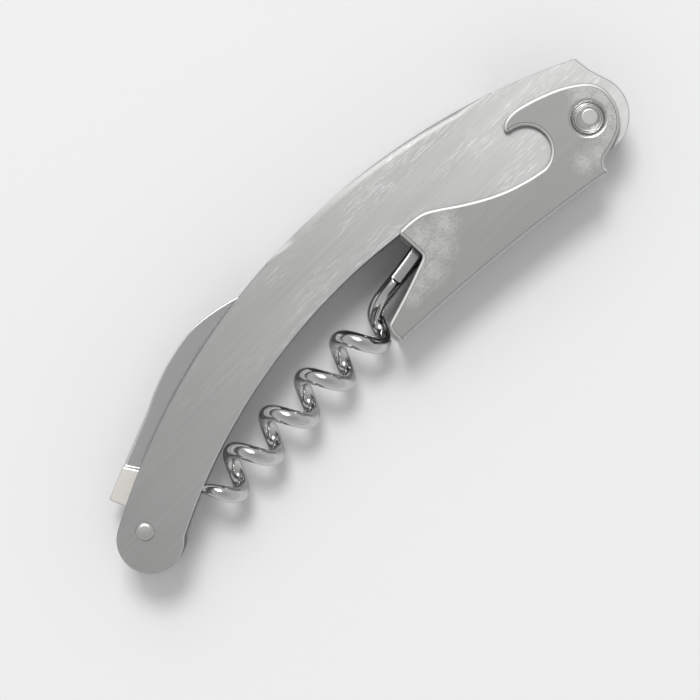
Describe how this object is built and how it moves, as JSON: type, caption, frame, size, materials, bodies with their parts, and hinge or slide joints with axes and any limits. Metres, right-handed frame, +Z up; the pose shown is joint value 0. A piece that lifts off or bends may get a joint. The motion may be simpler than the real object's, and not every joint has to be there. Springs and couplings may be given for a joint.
{
  "type": "folding corkscrew",
  "caption": "Folding all-steel corkscrew: arched folded-sheet handle, one-step lever with cap-lifter hook, wire worm and foil knife on riveted hinges.",
  "frame": {"origin": "on the surface that the folded corkscrew lies on, below the middle of its box", "axes": "+X along the handle from the knife end to the lever's pivot end, +Y towards the arched back, +Z up out of the side it shows when it lies folded"},
  "size_m": [0.1212, 0.0326, 0.0153],
  "materials": {
    "handle_steel": "stainless sheet, fine brushing along the handle",
    "lever_steel": "stainless sheet, tumbled satin",
    "worm_steel": "stainless wire, polished",
    "knife_steel": "stainless strip, ground across the blade, with a bright unground tang",
    "rivet_steel": "bright stainless, formed heads",
    "spacer_steel": "plain stainless tube"
  },
  "bodies": {
    "handle": {"handle_channel": "handle_steel", "worm_pin": "rivet_steel", "worm_spacer_front": "spacer_steel", "worm_spacer_back": "spacer_steel", "knife_rivet": "rivet_steel", "knife_spacer_front": "spacer_steel", "knife_spacer_back": "spacer_steel", "lever_rivet": "rivet_steel", "lever_spacer": "spacer_steel"},
    "lever": {"lever_channel": "lever_steel"},
    "worm": {"worm": "worm_steel"},
    "knife": {"knife_blade": "knife_steel"}
  },
  "joints": [
    {"name": "lever_fold", "type": "hinge", "parent": "handle", "child": "lever", "pos_m": [0.05276, -0.00705, 0.00765], "axis": [0, 0, 1], "range_deg": [0, 160]},
    {"name": "worm_fold", "type": "hinge", "parent": "handle", "child": "worm", "pos_m": [0.02126, -0.00185, 0.00765], "axis": [0, 0, 1], "range_deg": [0, 92]},
    {"name": "knife_fold", "type": "hinge", "parent": "handle", "child": "knife", "pos_m": [-0.05416, -0.00335, 0.00765], "axis": [0, 0, 1], "range_deg": [0, 170]}
  ],
  "couplings": [
    {"joint": "worm_fold", "follows": "lever_fold", "ratio": 0.5625}
  ]
}
